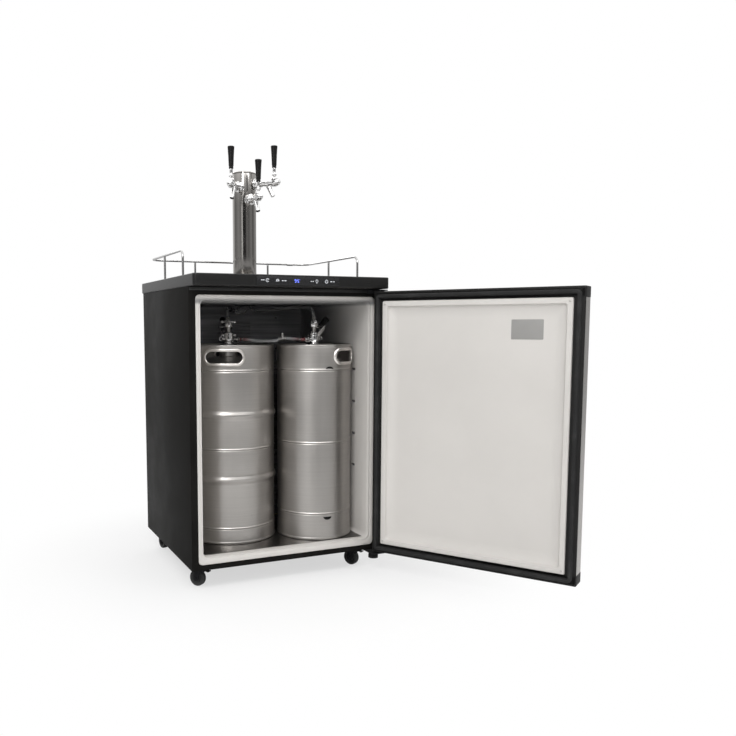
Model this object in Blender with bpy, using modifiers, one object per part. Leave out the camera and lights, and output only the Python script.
"""Three-tap kegerator with two kegs inside, door standing open.

Origin: centre of the cabinet's flat underside. +X right, +Y back, +Z up. Metres.
"""
import math

import bmesh
import bpy
from mathutils import Matrix, Vector

# Clearances that many pieces share
GAP = 0.0003            # between pieces that touch
OVERRUN = 0.004         # how far a cutter passes the face that it cuts
BITE = 0.0008           # how far a joined shape sinks into its neighbour
RUNNING = 0.0003        # radial clearance of what turns or slides
SHEET = 0.0012          # folded steel sheet

# Cabinet
CABINET_WIDTH = 0.596
CABINET_DEPTH = 0.537
CABINET_HEIGHT = 0.7945
CABINET_FLOOR_RISE = 0.066      # underside above the floor
PAN_THICKNESS = 0.0015
FRAME_SIDE = 0.0195             # black border beside the liner's flange
FRAME_TOP = 0.022
FRAME_BOTTOM = 0.0157
FLANGE_CORNER = 0.012
FLANGE_THICKNESS = 0.0025
LINER_WALL = 0.0025
LINER_ROUND = 0.004
FLANGE_FACE = 0.0165            # visible width of the white flange
FLANGE_SILL = 0.0203            # the flange's lower run is a little deeper
LINER_BACK_FOAM = 0.040
MACHINE_DEPTH = 0.134           # compartment behind the liner's step
MACHINE_HEIGHT = 0.232
MACHINE_WALL = 0.014            # foam between the compartment and the liner
LEDGE_COUNT = 4
LEDGE_PITCH = 0.1007
LEDGE_TOP = 0.5560
LEDGE_THICKNESS = 0.008
LEDGE_REACH = 0.004
LEDGE_STARTS = (0.088, 0.330)   # behind the cabinet's front plane
LEDGE_LENGTH = 0.014
PLATE_THICKNESS = 0.0010        # stainless sheet on the liner's floor
PLATE_MARGIN = 0.0065
PLATE_SETBACK = 0.024

# Back panel
LOUVRE_COUNT = 9
LOUVRE_PITCH = 0.016
LOUVRE_HEIGHT = 0.005
LOUVRE_LENGTH = 0.180
LOUVRE_FIRST = 0.060
LOUVRE_SPREAD = 0.130           # from the middle to each column
GLAND_RADIUS = 0.0085
GLAND_FLANGE = 0.0125
GLAND_FLANGE_THICKNESS = 0.003
GLAND_BORE = 0.0035
GLAND_LENGTH = 0.016
GLAND_SIDE_INSET = 0.0605       # from the cabinet's right side
GLAND_Z = 0.036

# Air cover on the liner's back wall
AIR_COVER_WIDTH = 0.340
AIR_COVER_HEIGHT = 0.130
AIR_COVER_DEPTH = 0.022
AIR_COVER_DROP = 0.030
AIR_COVER_WALL = 0.003
AIR_COVER_ROUND = 0.0018
AIR_SLOT_COUNT = 7
AIR_SLOT_PITCH = 0.012
AIR_SLOT_HEIGHT = 0.004
AIR_SLOT_LENGTH = 0.120

# Compressor in its compartment
COMPRESSOR_RADIUS = 0.056
COMPRESSOR_HEIGHT = 0.150
COMPRESSOR_SHOULDER = 0.026
COMPRESSOR_SEAM = 0.004
COMPRESSOR_FOOT_PLATE = 0.003
COMPRESSOR_FOOT_WIDTH = 0.210
COMPRESSOR_FOOT_DEPTH = 0.090
COMPRESSOR_FOOT_RADIUS = 0.011
COMPRESSOR_FOOT_HEIGHT = 0.014
COMPRESSOR_FOOT_INSET = 0.014
COMPRESSOR_TUBE = 0.004
COMPRESSOR_TUBE_RISE = 0.034
COMPRESSOR_TUBE_BEND = 0.018
COMPRESSOR_SIDE = 0.060

# Worktop
WORKTOP_SIDE_OVERHANG = 0.001
WORKTOP_FRONT_OVERHANG = 0.054
WORKTOP_BACK_OVERHANG = 0.020
WORKTOP_THICKNESS = 0.033
WORKTOP_CORNER = 0.010
WORKTOP_EDGE = 0.0025
LINE_HOLE_RADIUS = 0.030        # for the beer lines under the tower

# Control panel in the worktop's front edge
PANEL_LEFT = 0.120
PANEL_RIGHT = 0.132
PANEL_HEIGHT = 0.023
PANEL_THICKNESS = 0.0020
PANEL_CORNER = 0.003
DISPLAY_WIDTH = 0.025
DISPLAY_HEIGHT = 0.018
DISPLAY_RELIEF = 0.0006

# Guard rail
RAIL_WIRE = 0.0033
RAIL_HEIGHT = 0.0735            # wire's axis above the worktop
RAIL_SIDE_INSET = 0.018         # wire's axis, from the cabinet's side
RAIL_BACK_INSET = 0.047
RAIL_FRONT_INSET = 0.112
RAIL_CORNER = 0.036
RAIL_FRONT_BEND = 0.022
RAIL_POST_DEPTH = 0.012         # how far a post goes into the worktop
RAIL_SIDE_POST_INSET = 0.2235   # from the cabinet's back
RAIL_BACK_POSTS = 0.131
RAIL_SLEEVE_RADIUS = 0.0046
RAIL_SLEEVE_LENGTH = 0.024
RAIL_SLEEVE_INSET = 0.065       # from the rail's right side
RAIL_COLLAR_RADIUS = 0.0065
RAIL_COLLAR_HEIGHT = 0.003

# Drip tray and grille in front of the tower
TRAY_WIDTH = 0.300
TRAY_DEPTH = 0.132
TRAY_HEIGHT = 0.0185
TRAY_RECESS = 0.006
TRAY_WALL = 0.0012
TRAY_CORNER = 0.012
TRAY_TOWER_GAP = 0.006
TRAY_LEDGE = 0.004              # folded lip that carries the grille
TRAY_LEDGE_DROP = 0.004
GRILLE_THICKNESS = 0.002
GRILLE_SLOT_COUNT = 15
GRILLE_SLOT_WIDTH = 0.006
GRILLE_SLOT_MARGIN = 0.014

# Tower
TOWER_INSET = 0.172             # tower's axis, from the cabinet's back
TOWER_RADIUS = 0.038
TOWER_WALL = 0.0015
TOWER_HEIGHT = 0.352
TOWER_CAP_HEIGHT = 0.007
TOWER_CAP_PLUG = 0.010
TOWER_CAP_ROUND = 0.003
TOWER_BASE_RADIUS = 0.058
TOWER_BASE_THICKNESS = 0.005
TOWER_COLLAR_HEIGHT = 0.010
TOWER_COLLAR_WALL = 0.003

# Faucets: shank heights above the worktop, and radial directions in degrees
TAP_LEFT_HEIGHT = 0.2990
TAP_MIDDLE_HEIGHT = 0.2600
TAP_RIGHT_HEIGHT = 0.3125
FAUCETS = (("left", -42.0, TAP_LEFT_HEIGHT), ("middle", 4.0, TAP_MIDDLE_HEIGHT),
           ("right", 42.0, TAP_RIGHT_HEIGHT))
SHANK_RADIUS = 0.0110
SHANK_BORE = 0.0050
SHANK_INNER_END = 0.0215
SHANK_OUTER_END = 0.0550
SHANK_FLANGE_RADIUS = 0.0165
SHANK_FLANGE_THICKNESS = 0.0035
SHANK_NUT_RADIUS = 0.0175
SHANK_NUT_LENGTH = 0.0115
ELBOW_RADIUS = 0.0040
ELBOW_REACH = 0.0165            # elbow's drop, from the tower's axis
ELBOW_DROP = 0.016
ELBOW_BEND = 0.0045
BARREL_RADIUS = 0.0100
BARREL_END = 0.1200
BARREL_WAIST = 0.0085
BARREL_NOSE = 0.006
BONNET_REACH = 0.1080           # bonnet's axis, from the tower's axis
BONNET_RADIUS = 0.0112
BONNET_TOP = 0.0150
BONNET_BOTTOM = 0.012
BALL_RISE = 0.0140
BALL_RADIUS = 0.0065
BALL_CLEARANCE = 0.0004
SPOUT_REACH = 0.0834            # where the spout leaves the barrel's axis
SPOUT_RADIUS = 0.0078
SPOUT_TIP_RADIUS = 0.0065
SPOUT_BORE = 0.0042
SPOUT_LENGTH = 0.0477
SPOUT_LEAN = 25.6               # degrees outwards from straight down
PLUNGER_RADIUS = 0.0042
PLUNGER_CLEARANCE = 0.0004
PLUNGER_LENGTH = 0.0500
PLUNGER_FRONT = 0.0040          # its front end past the bonnet's axis
PLUNGER_SLOT = 0.0072
PLUNGER_SLOT_WIDTH = 0.0050
PLUNGER_SLOT_FLOOR = -0.0018
LEVER_TIP_RADIUS = 0.0019
LEVER_TIP_RISE = 0.0010
LEVER_STEM_RADIUS = 0.0030
LEVER_COLLAR_RADIUS = 0.0070
LEVER_COLLAR_START = 0.0208     # above the shank's axis
LEVER_COLLAR_HEIGHT = 0.0060
LEVER_FERRULE_RADIUS = 0.0046
LEVER_FERRULE_START = 0.0320
LEVER_FERRULE_HEIGHT = 0.0130
LEVER_POCKET_BACK = 0.0100
LEVER_POCKET_WIDTH = 0.0050
HANDLE_HEIGHT = 0.0685
HANDLE_FOOT_RADIUS = 0.0075
HANDLE_TOP_RADIUS = 0.0108
HANDLE_ROUND = 0.0015

# Door
DOOR_BOTTOM = 0.0053
DOOR_DROP = 0.0074              # door's top, below the cabinet's
DOOR_THICKNESS = 0.050
DOOR_STANDOFF = 0.0121          # inner plane ahead of the cabinet when closed
DOOR_OPEN_ANGLE = 123.0
DOOR_SKIN = 0.0010
DOOR_CAP = 0.030                # plastic end caps at top and bottom
DOOR_RIM = 0.0285               # black border round the white liner
DOOR_EDGE_ROUND = 0.003
DOOR_LINER_LAP = 0.006
DOOR_LINER_WALL = 0.0025
DOOR_LINER_RIDGE = 0.020        # raised border of the white panel
DOOR_LINER_RISE = 0.005
DOOR_LINER_DISH = 0.010
DOOR_LINER_ROUND = 0.010
GASKET_WIDTH = 0.012
GASKET_THICKNESS = 0.0112
GASKET_INSET = 0.009            # from the door's rim edge to the gasket
PIVOT_SIDE = 0.0139             # pivot, from the door's hinge edge
PIVOT_DEPTH = 0.0244            # pivot, from the door's inner plane
PIN_RADIUS = 0.0035
PIN_LENGTH = 0.016
HINGE_PLATE = 0.003
HINGE_ARM = 0.024
HINGE_FLANGE_HEIGHT = 0.010
HINGE_FLANGE_WIDTH = 0.046
HINGE_UNDER_LENGTH = 0.070
HINGE_WASHER_RADIUS = 0.0065
HINGE_CORNER = 0.006
FOOT_RADIUS = 0.0150
FOOT_HEIGHT = 0.020
FOOT_STEM = 0.004
FOOT_SIDE = 0.0081              # from the pivot towards the middle
FOOT_BEHIND = 0.0260            # behind the pivot
FOOT_CHAMFER = 0.003

# Casters: stem places and the heading of each wheel, in degrees from +X
CASTER_SIDE_INSET = 0.046
CASTER_FRONT_INSET = 0.065
CASTER_BACK_INSET = 0.055
BRAKED = ("front_left", "front_right")
WHEEL_RADIUS = 0.0240
WHEEL_WIDTH = 0.0180
WHEEL_HUB_WIDTH = 0.0200
WHEEL_HUB_RADIUS = 0.0080
WHEEL_RIM_RADIUS = 0.0165
WHEEL_RIM_SINK = 0.0030
WHEEL_TREAD_ROUND = 0.004
CASTER_TRAIL = 0.0120
AXLE_RADIUS = 0.0030
FORK_PLATE = 0.0020
FORK_WIDTH = 0.0160
FORK_CROWN_RADIUS = 0.0175
FORK_CROWN_HEIGHT = 0.0045
FORK_BOSS_RADIUS = 0.0130
SOCKET_RADIUS = 0.0130
SOCKET_HEIGHT = 0.0060
KINGPIN_RADIUS = 0.0045
KINGPIN_LENGTH = 0.0030
PEDAL_WIDTH = 0.0150
PEDAL_LENGTH = 0.0140
PEDAL_THICKNESS = 0.0030
PEDAL_REACH = 0.0140            # pedal's hinge, ahead of the stem
PEDAL_RISE = -0.0165            # pedal's hinge, below the cabinet
PEDAL_PIN_RADIUS = 0.0020
PEDAL_TILT = 12.0

# Kegs: two slim barrels of one height, standing side by side
KEG_HEADROOM = 0.1244           # over the kegs, for couplers and hoses
KEG_LEFT_SIDE_GAP = 0.0130      # from the tub's side
KEG_RIGHT_SIDE_GAP = 0.0012
KEG_FRONT_SHARE = 0.76636       # of the room left over before and behind the left keg
KEG_GAP = 0.0082                # between the two kegs
KEG_LEFT_SLOT = 0.114
KEG_RIGHT_SLOT = 0.096
KEG_WALL = 0.0016
KEG_CHIME = 0.0032
KEG_CHIME_TOP = 0.078
KEG_RIB = 0.0022
KEG_SEAM = 0.0016
KEG_TOP_DISH = 0.058            # shoulder of the domed top, below the chime
KEG_DOME_RISE = 0.020
KEG_NECK_RADIUS = 0.0275
KEG_NECK_TOP = 0.010            # neck's top, below the chime's top
KEG_NECK_BORE = 0.0200
KEG_BASE_DISH = 0.018
KEG_SLOT_HEIGHT = 0.0375
KEG_SLOT_CENTRE = 0.0360        # below the chime's top

# Couplers on the kegs, from the neck's top upwards
COUPLER_BASE_RADIUS = 0.0265
COUPLER_BASE_HEIGHT = 0.010
COUPLER_BODY_RADIUS = 0.0165
COUPLER_BODY_TOP = 0.0460
COUPLER_WAIST_RADIUS = 0.0135
COUPLER_BORE = 0.0078
COUPLER_INLET_RISE = 0.0230
COUPLER_INLET_RADIUS = 0.0062
COUPLER_INLET_REACH = 0.0420
COUPLER_NUT_RADIUS = 0.0090
COUPLER_NUT_LENGTH = 0.0090
COUPLER_PIVOT_RISE = 0.0370
COUPLER_PIVOT_RADIUS = 0.0035
COUPLER_ARM_GAP = 0.0008
COUPLER_ARM = 0.0035
COUPLER_ARM_WIDTH = 0.0100
COUPLER_ARM_LENGTH = 0.0360
COUPLER_GRIP_RADIUS = 0.0078
COUPLER_GRIP_END = 0.0098
COUPLER_GRIP_LENGTH = 0.0400
COUPLER_LIFT = 42.0             # rest angle of the lever above level
PROBE_RADIUS = 0.0073
PROBE_BORE = 0.0035
PROBE_BELOW = 0.0060
PROBE_TOP = 0.0820
PROBE_NUT_RADIUS = 0.0120
PROBE_NUT_START = 0.0620
PROBE_NUT_HEIGHT = 0.0120

# Hoses
BEER_LINE_RADIUS = 0.0050
GAS_LINE_RADIUS = 0.0050
HOSE_STEP = 0.024
TEE_RADIUS = 0.0085
TEE_HEIGHT = 0.0200
GAS_TEE_RADIUS = 0.0070
GAS_STUB_RADIUS = 0.0040
GAS_STUB_HEIGHT = 0.0170
LINE_SIDE = 0.0140              # side lines in the tower, from its axis
LINE_BEHIND = 0.0055
LINE_AHEAD = 0.0175             # middle line

# Places that follow from the sizes above
FRONT = -CABINET_DEPTH / 2
BACK = CABINET_DEPTH / 2
HALF_WIDTH = CABINET_WIDTH / 2
FLOOR_Z = -CABINET_FLOOR_RISE
GLAND_X = HALF_WIDTH - GLAND_SIDE_INSET
FLANGE_HALF = HALF_WIDTH - FRAME_SIDE
FLANGE_TOP = CABINET_HEIGHT - FRAME_TOP
TUB_HALF = FLANGE_HALF - FLANGE_FACE
TUB_TOP = FLANGE_TOP - FLANGE_FACE
TUB_BOTTOM = FRAME_BOTTOM + FLANGE_SILL
TUB_BACK = BACK - LINER_BACK_FOAM
MACHINE_FRONT = BACK - MACHINE_DEPTH
STEP_FRONT = MACHINE_FRONT - MACHINE_WALL
STEP_TOP = MACHINE_HEIGHT + MACHINE_WALL + LINER_WALL
FLOOR_TOP = TUB_BOTTOM + GAP + PLATE_THICKNESS
WORKTOP_BOTTOM = CABINET_HEIGHT + GAP
WORKTOP_TOP = WORKTOP_BOTTOM + WORKTOP_THICKNESS
WORKTOP_FRONT = FRONT - WORKTOP_FRONT_OVERHANG
WORKTOP_BACK = BACK + WORKTOP_BACK_OVERHANG
TOWER_Y = BACK - TOWER_INSET
TRAY_BACK = TOWER_Y - TOWER_BASE_RADIUS - TRAY_TOWER_GAP
TRAY_FRONT = TRAY_BACK - TRAY_DEPTH
PANEL_Z = WORKTOP_BOTTOM + (WORKTOP_THICKNESS - PANEL_HEIGHT) / 2
RAIL_X = HALF_WIDTH - RAIL_SIDE_INSET
RAIL_BACK = BACK - RAIL_BACK_INSET
RAIL_FRONT = FRONT + RAIL_FRONT_INSET
DOOR_WIDTH = CABINET_WIDTH
DOOR_TOP = CABINET_HEIGHT - DOOR_DROP
DOOR_INNER = FRONT - DOOR_STANDOFF
PIVOT = Vector((DOOR_WIDTH / 2 - PIVOT_SIDE, DOOR_INNER - PIVOT_DEPTH, 0))
FOOT_X = PIVOT.x - FOOT_SIDE
FOOT_Y = PIVOT.y + FOOT_BEHIND
CASTER_X = HALF_WIDTH - CASTER_SIDE_INSET
CASTER_FRONT = FRONT + CASTER_FRONT_INSET
CASTER_BACK = BACK - CASTER_BACK_INSET
AXLE_Z = FLOOR_Z + WHEEL_RADIUS
KEG_Z = FLOOR_TOP + GAP
KEG_HEIGHT = TUB_TOP - KEG_HEADROOM - KEG_Z
NECK_Z = KEG_Z + KEG_HEIGHT - KEG_NECK_TOP

# Keg radii as shares of the tub's width; their axes follow from the gaps round them
KEG_RADIUS_SHARES = (0.26908, 0.22195)
KEG_LEFT_RADIUS, KEG_RIGHT_RADIUS = (2 * TUB_HALF * share for share in KEG_RADIUS_SHARES)
KEG_LEFT_X = KEG_LEFT_SIDE_GAP + KEG_LEFT_RADIUS - TUB_HALF
KEG_RIGHT_X = TUB_HALF - KEG_RIGHT_RADIUS - KEG_RIGHT_SIDE_GAP
KEG_LEFT_Y = FRONT + KEG_LEFT_RADIUS + KEG_FRONT_SHARE * (STEP_FRONT - FRONT - 2 * KEG_LEFT_RADIUS)
KEG_PITCH = KEG_LEFT_RADIUS + KEG_RIGHT_RADIUS + KEG_GAP
KEG_RIGHT_Y = KEG_LEFT_Y - math.sqrt(KEG_PITCH ** 2 - (KEG_RIGHT_X - KEG_LEFT_X) ** 2)

# Casters: name, side, place and the heading of each wheel, in degrees from +X
CASTERS = (("front_left", -1, CASTER_FRONT, 130.0), ("front_right", 1, CASTER_FRONT, 120.0),
           ("rear_left", -1, CASTER_BACK, 100.0), ("rear_right", 1, CASTER_BACK, 95.0))

# Slim quarter barrel on the left, sixth barrel on the right. The levels of ribs and weld seams
# are shares of the height; slot is the direction of the hand slots from -Y towards +X.
KEGS = (
    dict(name="left", radius=KEG_LEFT_RADIUS, place=(KEG_LEFT_X, KEG_LEFT_Y), slot=-24.7,
         slot_width=KEG_LEFT_SLOT, rib_shares=(0.3249, 0.6498), seam_shares=(0.0774, 0.4764),
         inlet=20.0, lever=90.0),
    dict(name="right", radius=KEG_RIGHT_RADIUS, place=(KEG_RIGHT_X, KEG_RIGHT_Y), slot=33.4,
         slot_width=KEG_RIGHT_SLOT, rib_shares=(), seam_shares=(0.1330, 0.4983),
         inlet=200.0, lever=19.0),
)

COLOURS = {
    "black_steel": ((0.020, 0.020, 0.021), 0.45, 0.0),
    "black_plastic": ((0.026, 0.026, 0.027), 0.42, 0.0),
    "white_plastic": ((0.80, 0.80, 0.79), 0.40, 0.0),
    "steel": ((0.58, 0.57, 0.56), 0.32, 1.0),
    "chrome": ((0.78, 0.78, 0.79), 0.10, 1.0),
    "foam": ((0.82, 0.74, 0.50), 0.90, 0.0),
    "rubber": ((0.045, 0.045, 0.047), 0.75, 0.0),
    "panel": ((0.012, 0.012, 0.014), 0.15, 0.0),
    "beer_hose": ((0.78, 0.80, 0.80), 0.20, 0.0),
    "gas_hose": ((0.62, 0.20, 0.20), 0.25, 0.0),
    "zinc": ((0.62, 0.62, 0.60), 0.35, 1.0),
}


def clear_scene():
    """Empty the file of objects and meshes."""
    for item in list(bpy.data.objects):
        bpy.data.objects.remove(item, do_unlink=True)
    for group in list(bpy.data.collections):
        bpy.data.collections.remove(group)


def new_collection(name):
    group = bpy.data.collections.new(name)
    bpy.context.scene.collection.children.link(group)
    return group


clear_scene()
PARTS = new_collection("kegerator")
TOOLS = new_collection("cutters")


def finish_of(name, finish):
    """A Principled material of the part's own, in one of the named finishes."""
    colour, roughness, metallic = COLOURS[finish]
    surface = bpy.data.materials.new(name)
    surface.use_nodes = True
    shader = surface.node_tree.nodes["Principled BSDF"]
    shader.inputs["Base Color"].default_value = (*colour, 1.0)
    shader.inputs["Roughness"].default_value = roughness
    shader.inputs["Metallic"].default_value = metallic
    surface.diffuse_color = (*colour, 1.0)
    return surface


def place(item, finish=None, parent=None, location=(0, 0, 0), rotation=(0, 0, 0)):
    """Put an object in the parts with its finish, or in the cutters without one."""
    item.parent = parent
    item.location = location
    item.rotation_euler = rotation
    if finish:
        item.data.materials.clear()
        item.data.materials.append(finish_of(item.name, finish))
        PARTS.objects.link(item)
    else:
        item.hide_render = True
        item.display_type = 'WIRE'
        TOOLS.objects.link(item)
    return item


def from_bmesh(name, shape):
    mesh = bpy.data.meshes.new(name)
    bmesh.ops.recalc_face_normals(shape, faces=shape.faces)
    shape.to_mesh(mesh)
    shape.free()
    mesh.shade_smooth()
    mesh.set_sharp_from_angle(angle=math.radians(35))
    return bpy.data.objects.new(name, mesh)


def block(name, low, high, corner=0.0, along=None, segments=3):
    """A box between two corners; corner rounds its edges, or only those along one axis."""
    low = Vector(low)
    high = Vector(high)
    shape = bmesh.new()
    bmesh.ops.create_cube(shape, size=1.0)
    bmesh.ops.scale(shape, vec=high - low, verts=shape.verts)
    bmesh.ops.translate(shape, vec=(low + high) / 2, verts=shape.verts)
    if corner:
        edges = list(shape.edges)
        if along is not None:
            axis = Vector([1 if index == along else 0 for index in range(3)])
            edges = [edge for edge in edges
                     if abs((edge.verts[0].co - edge.verts[1].co).normalized().dot(axis)) > 0.99]
        bmesh.ops.bevel(shape, geom=edges, offset=corner, segments=segments,
                        profile=0.5, affect='EDGES', clamp_overlap=True)
    return from_bmesh(name, shape)


def rod(name, radius, start, end, radius_end=None, segments=16):
    """A round bar or cone between two points."""
    start = Vector(start)
    end = Vector(end)
    turn = (end - start).to_track_quat('Z', 'Y').to_matrix().to_4x4()
    shape = bmesh.new()
    bmesh.ops.create_cone(shape, cap_ends=True, cap_tris=False, segments=segments,
                          radius1=radius, radius2=radius if radius_end is None else radius_end,
                          depth=(end - start).length,
                          matrix=Matrix.Translation((start + end) / 2) @ turn)
    return from_bmesh(name, shape)


def turned(name, profile, segments=32, closed=False):
    """A turned shape about Z: the profile of (radius, height) runs down its outer side."""
    mesh = bpy.data.meshes.new(name)
    edges = [(index, index + 1) for index in range(len(profile) - 1)]
    if closed:
        edges.append((len(profile) - 1, 0))
    mesh.from_pydata([(radius, 0, height) for radius, height in profile], edges, [])
    item = bpy.data.objects.new(name, mesh)
    screw = item.modifiers.new("turn", 'SCREW')
    screw.steps = segments
    screw.render_steps = segments
    screw.use_merge_vertices = True
    screw.merge_threshold = 0.00001
    screw.use_smooth_shade = True
    return item


def wire(name, points, radius, resolution=1):
    """A round wire or hose along a list of points, as a closed mesh."""
    curve = bpy.data.curves.new(name, 'CURVE')
    curve.dimensions = '3D'
    curve.bevel_depth = radius
    curve.bevel_resolution = resolution
    curve.use_fill_caps = True
    spline = curve.splines.new('POLY')
    spline.points.add(len(points) - 1)
    for slot, point in zip(spline.points, points):
        slot.co = (*point, 1)
    guide = bpy.data.objects.new(name + "_guide", curve)
    bpy.context.scene.collection.objects.link(guide)
    bpy.context.view_layer.update()
    mesh = bpy.data.meshes.new_from_object(guide.evaluated_get(bpy.context.evaluated_depsgraph_get()))
    bpy.data.objects.remove(guide, do_unlink=True)
    shape = bmesh.new()
    shape.from_mesh(mesh)
    bpy.data.meshes.remove(mesh)
    bmesh.ops.remove_doubles(shape, verts=shape.verts, dist=0.00001)
    return from_bmesh(name, shape)


def prism(name, outline, half_width, corner=0.0):
    """A side outline of (y, z) points drawn out along X to both sides, its edges rounded."""
    shape = bmesh.new()
    ring = [shape.verts.new((-half_width, y, z)) for y, z in outline]
    face = shape.faces.new(ring)
    grown = bmesh.ops.extrude_face_region(shape, geom=[face])
    moved = [part for part in grown["geom"] if isinstance(part, bmesh.types.BMVert)]
    bmesh.ops.translate(shape, vec=(2 * half_width, 0, 0), verts=moved)
    item = from_bmesh(name, shape)
    if corner:
        rounding = item.modifiers.new("round", 'BEVEL')
        rounding.width = corner
        rounding.segments = 2
        rounding.limit_method = 'ANGLE'
    return item


def combine(item, others, operation, parent=None):
    """Cut or join other shapes into a piece."""
    for other in others:
        if other.name not in TOOLS.objects:
            place(other, parent=parent, location=other.location, rotation=other.rotation_euler)
        step = item.modifiers.new(operation.lower(), 'BOOLEAN')
        step.operation = operation
        step.object = other
        step.solver = 'EXACT'
    return item


def cut(item, *others, parent=None):
    return combine(item, others, 'DIFFERENCE', parent)


def join(item, *others, parent=None):
    return combine(item, others, 'UNION', parent)


def merged(name, shapes):
    """Several separate closed shapes in one object, for one cut."""
    whole = bmesh.new()
    for shape in shapes:
        whole.from_mesh(shape.data)
        bpy.data.objects.remove(shape, do_unlink=True)
    return from_bmesh(name, whole)


def empty(name, location=(0, 0, 0), angle=0.0):
    """A pivot that pieces hang from, turned about Z."""
    pivot = bpy.data.objects.new(name, None)
    pivot.location = location
    pivot.rotation_euler = (0, 0, math.radians(angle))
    PARTS.objects.link(pivot)
    return pivot


def smooth_route(points, spacing):
    """Points at an even spacing on a smooth curve through a route's own points."""
    points = [Vector(point) for point in points]
    ends = [2 * points[0] - points[1]] + points + [2 * points[-1] - points[-2]]
    dense = []
    fine = 24
    for index in range(1, len(ends) - 2):
        before, first, second, after = ends[index - 1:index + 3]
        for step in range(fine):
            share = step / fine
            dense.append(0.5 * (2 * first + (second - before) * share
                                + (2 * before - 5 * first + 4 * second - after) * share ** 2
                                + (3 * first - before - 3 * second + after) * share ** 3))
    dense.append(points[-1])
    length = sum((b - a).length for a, b in zip(dense, dense[1:]))
    count = max(2, round(length / spacing))
    wanted = [length * index / count for index in range(count + 1)]
    even = []
    run = 0.0
    for a, b in zip(dense, dense[1:]):
        part = (b - a).length
        while wanted and wanted[0] <= run + part:
            even.append(a.lerp(b, (wanted.pop(0) - run) / part))
        run += part
    if wanted:
        even.append(dense[-1])
    return even


def bend(centre, start_angle, end_angle, radius, u, v, steps=5):
    """Points on an arc in the plane of two unit directions."""
    centre = Vector(centre)
    turns = [math.radians(start_angle + (end_angle - start_angle) * step / steps)
             for step in range(steps + 1)]
    return [centre + radius * (math.cos(turn) * Vector(u) + math.sin(turn) * Vector(v))
            for turn in turns]


def build_shell():
    """Painted wrap: both sides, the top and the frame round the opening."""
    shell = block("cabinet_shell", (-HALF_WIDTH, FRONT, 0), (HALF_WIDTH, BACK, CABINET_HEIGHT),
                  corner=SHEET, along=2, segments=2)
    hollow = block("shell_hollow", (SHEET - HALF_WIDTH, FRONT + SHEET, -OVERRUN),
                   (HALF_WIDTH - SHEET, BACK + OVERRUN, CABINET_HEIGHT - SHEET))
    opening = block("shell_opening",
                    (-FLANGE_HALF - GAP, FRONT - OVERRUN, FRAME_BOTTOM - GAP),
                    (FLANGE_HALF + GAP, FRONT + OVERRUN, FLANGE_TOP + GAP),
                    corner=FLANGE_CORNER, along=1)
    line_hole = rod("shell_line_hole", LINE_HOLE_RADIUS, (0, TOWER_Y, CABINET_HEIGHT - OVERRUN),
                    (0, TOWER_Y, CABINET_HEIGHT + OVERRUN), segments=24)
    place(shell, "black_steel")
    cut(shell, hollow, opening, line_hole)


def build_base_pan():
    """Flat pan under the cabinet with the four caster sockets and their kingpins."""
    inside = HALF_WIDTH - SHEET - GAP
    pan = block("base_pan", (-inside, FRONT + SHEET + GAP, 0), (inside, BACK - SHEET - GAP, PAN_THICKNESS))
    place(pan, "black_steel")
    for name, side, y, _ in CASTERS:
        top = (side * CASTER_X, y, BITE)
        seat = (side * CASTER_X, y, -SOCKET_HEIGHT)
        tip = (side * CASTER_X, y, -SOCKET_HEIGHT - KINGPIN_LENGTH)
        join(pan, rod("socket_" + name, SOCKET_RADIUS, top, seat),
             rod("kingpin_" + name, KINGPIN_RADIUS, top, tip))


def build_back_panel():
    """Rear sheet with two columns of vents over the machine compartment."""
    inside = HALF_WIDTH - SHEET - GAP
    panel = block("back_panel", (-inside, BACK - SHEET, PAN_THICKNESS + GAP),
                  (inside, BACK, CABINET_HEIGHT - SHEET - GAP))
    slots = []
    for side in (-1, 1):
        for index in range(LOUVRE_COUNT):
            low = LOUVRE_FIRST + index * LOUVRE_PITCH
            slots.append(block("vent", (side * LOUVRE_SPREAD - LOUVRE_LENGTH / 2, BACK - OVERRUN, low),
                               (side * LOUVRE_SPREAD + LOUVRE_LENGTH / 2, BACK + OVERRUN,
                                low + LOUVRE_HEIGHT)))
    hole = rod("gland_hole", GLAND_RADIUS + GAP, (GLAND_X, BACK - OVERRUN, GLAND_Z),
               (GLAND_X, BACK + OVERRUN, GLAND_Z))
    place(panel, "black_steel")
    cut(panel, merged("vents", slots), hole)


def build_cord_gland():
    """Strain relief that the mains lead comes out of."""
    x = GLAND_X
    gland = rod("cord_gland", GLAND_FLANGE, (x, BACK + GAP, GLAND_Z),
                (x, BACK + GAP + GLAND_FLANGE_THICKNESS, GLAND_Z))
    neck = rod("gland_neck", GLAND_RADIUS, (x, BACK - GLAND_LENGTH / 2, GLAND_Z),
               (x, BACK + GLAND_FLANGE_THICKNESS, GLAND_Z))
    snout = rod("gland_snout", GLAND_RADIUS, (x, BACK + GAP + BITE, GLAND_Z),
                (x, BACK + GLAND_LENGTH, GLAND_Z), radius_end=GLAND_RADIUS - GLAND_FLANGE_THICKNESS)
    bore = rod("gland_bore", GLAND_BORE, (x, BACK - GLAND_LENGTH, GLAND_Z),
               (x, BACK + 2 * GLAND_LENGTH, GLAND_Z))
    place(gland, "rubber")
    join(gland, neck, snout)
    cut(gland, bore)


def tub_outline(grow, front):
    """Side outline of the liner's tub, grown outwards by a wall."""
    return [(front, TUB_BOTTOM - grow), (STEP_FRONT + grow, TUB_BOTTOM - grow),
            (STEP_FRONT + grow, STEP_TOP - grow), (TUB_BACK + grow, STEP_TOP - grow),
            (TUB_BACK + grow, TUB_TOP + grow), (front, TUB_TOP + grow)]


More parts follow.
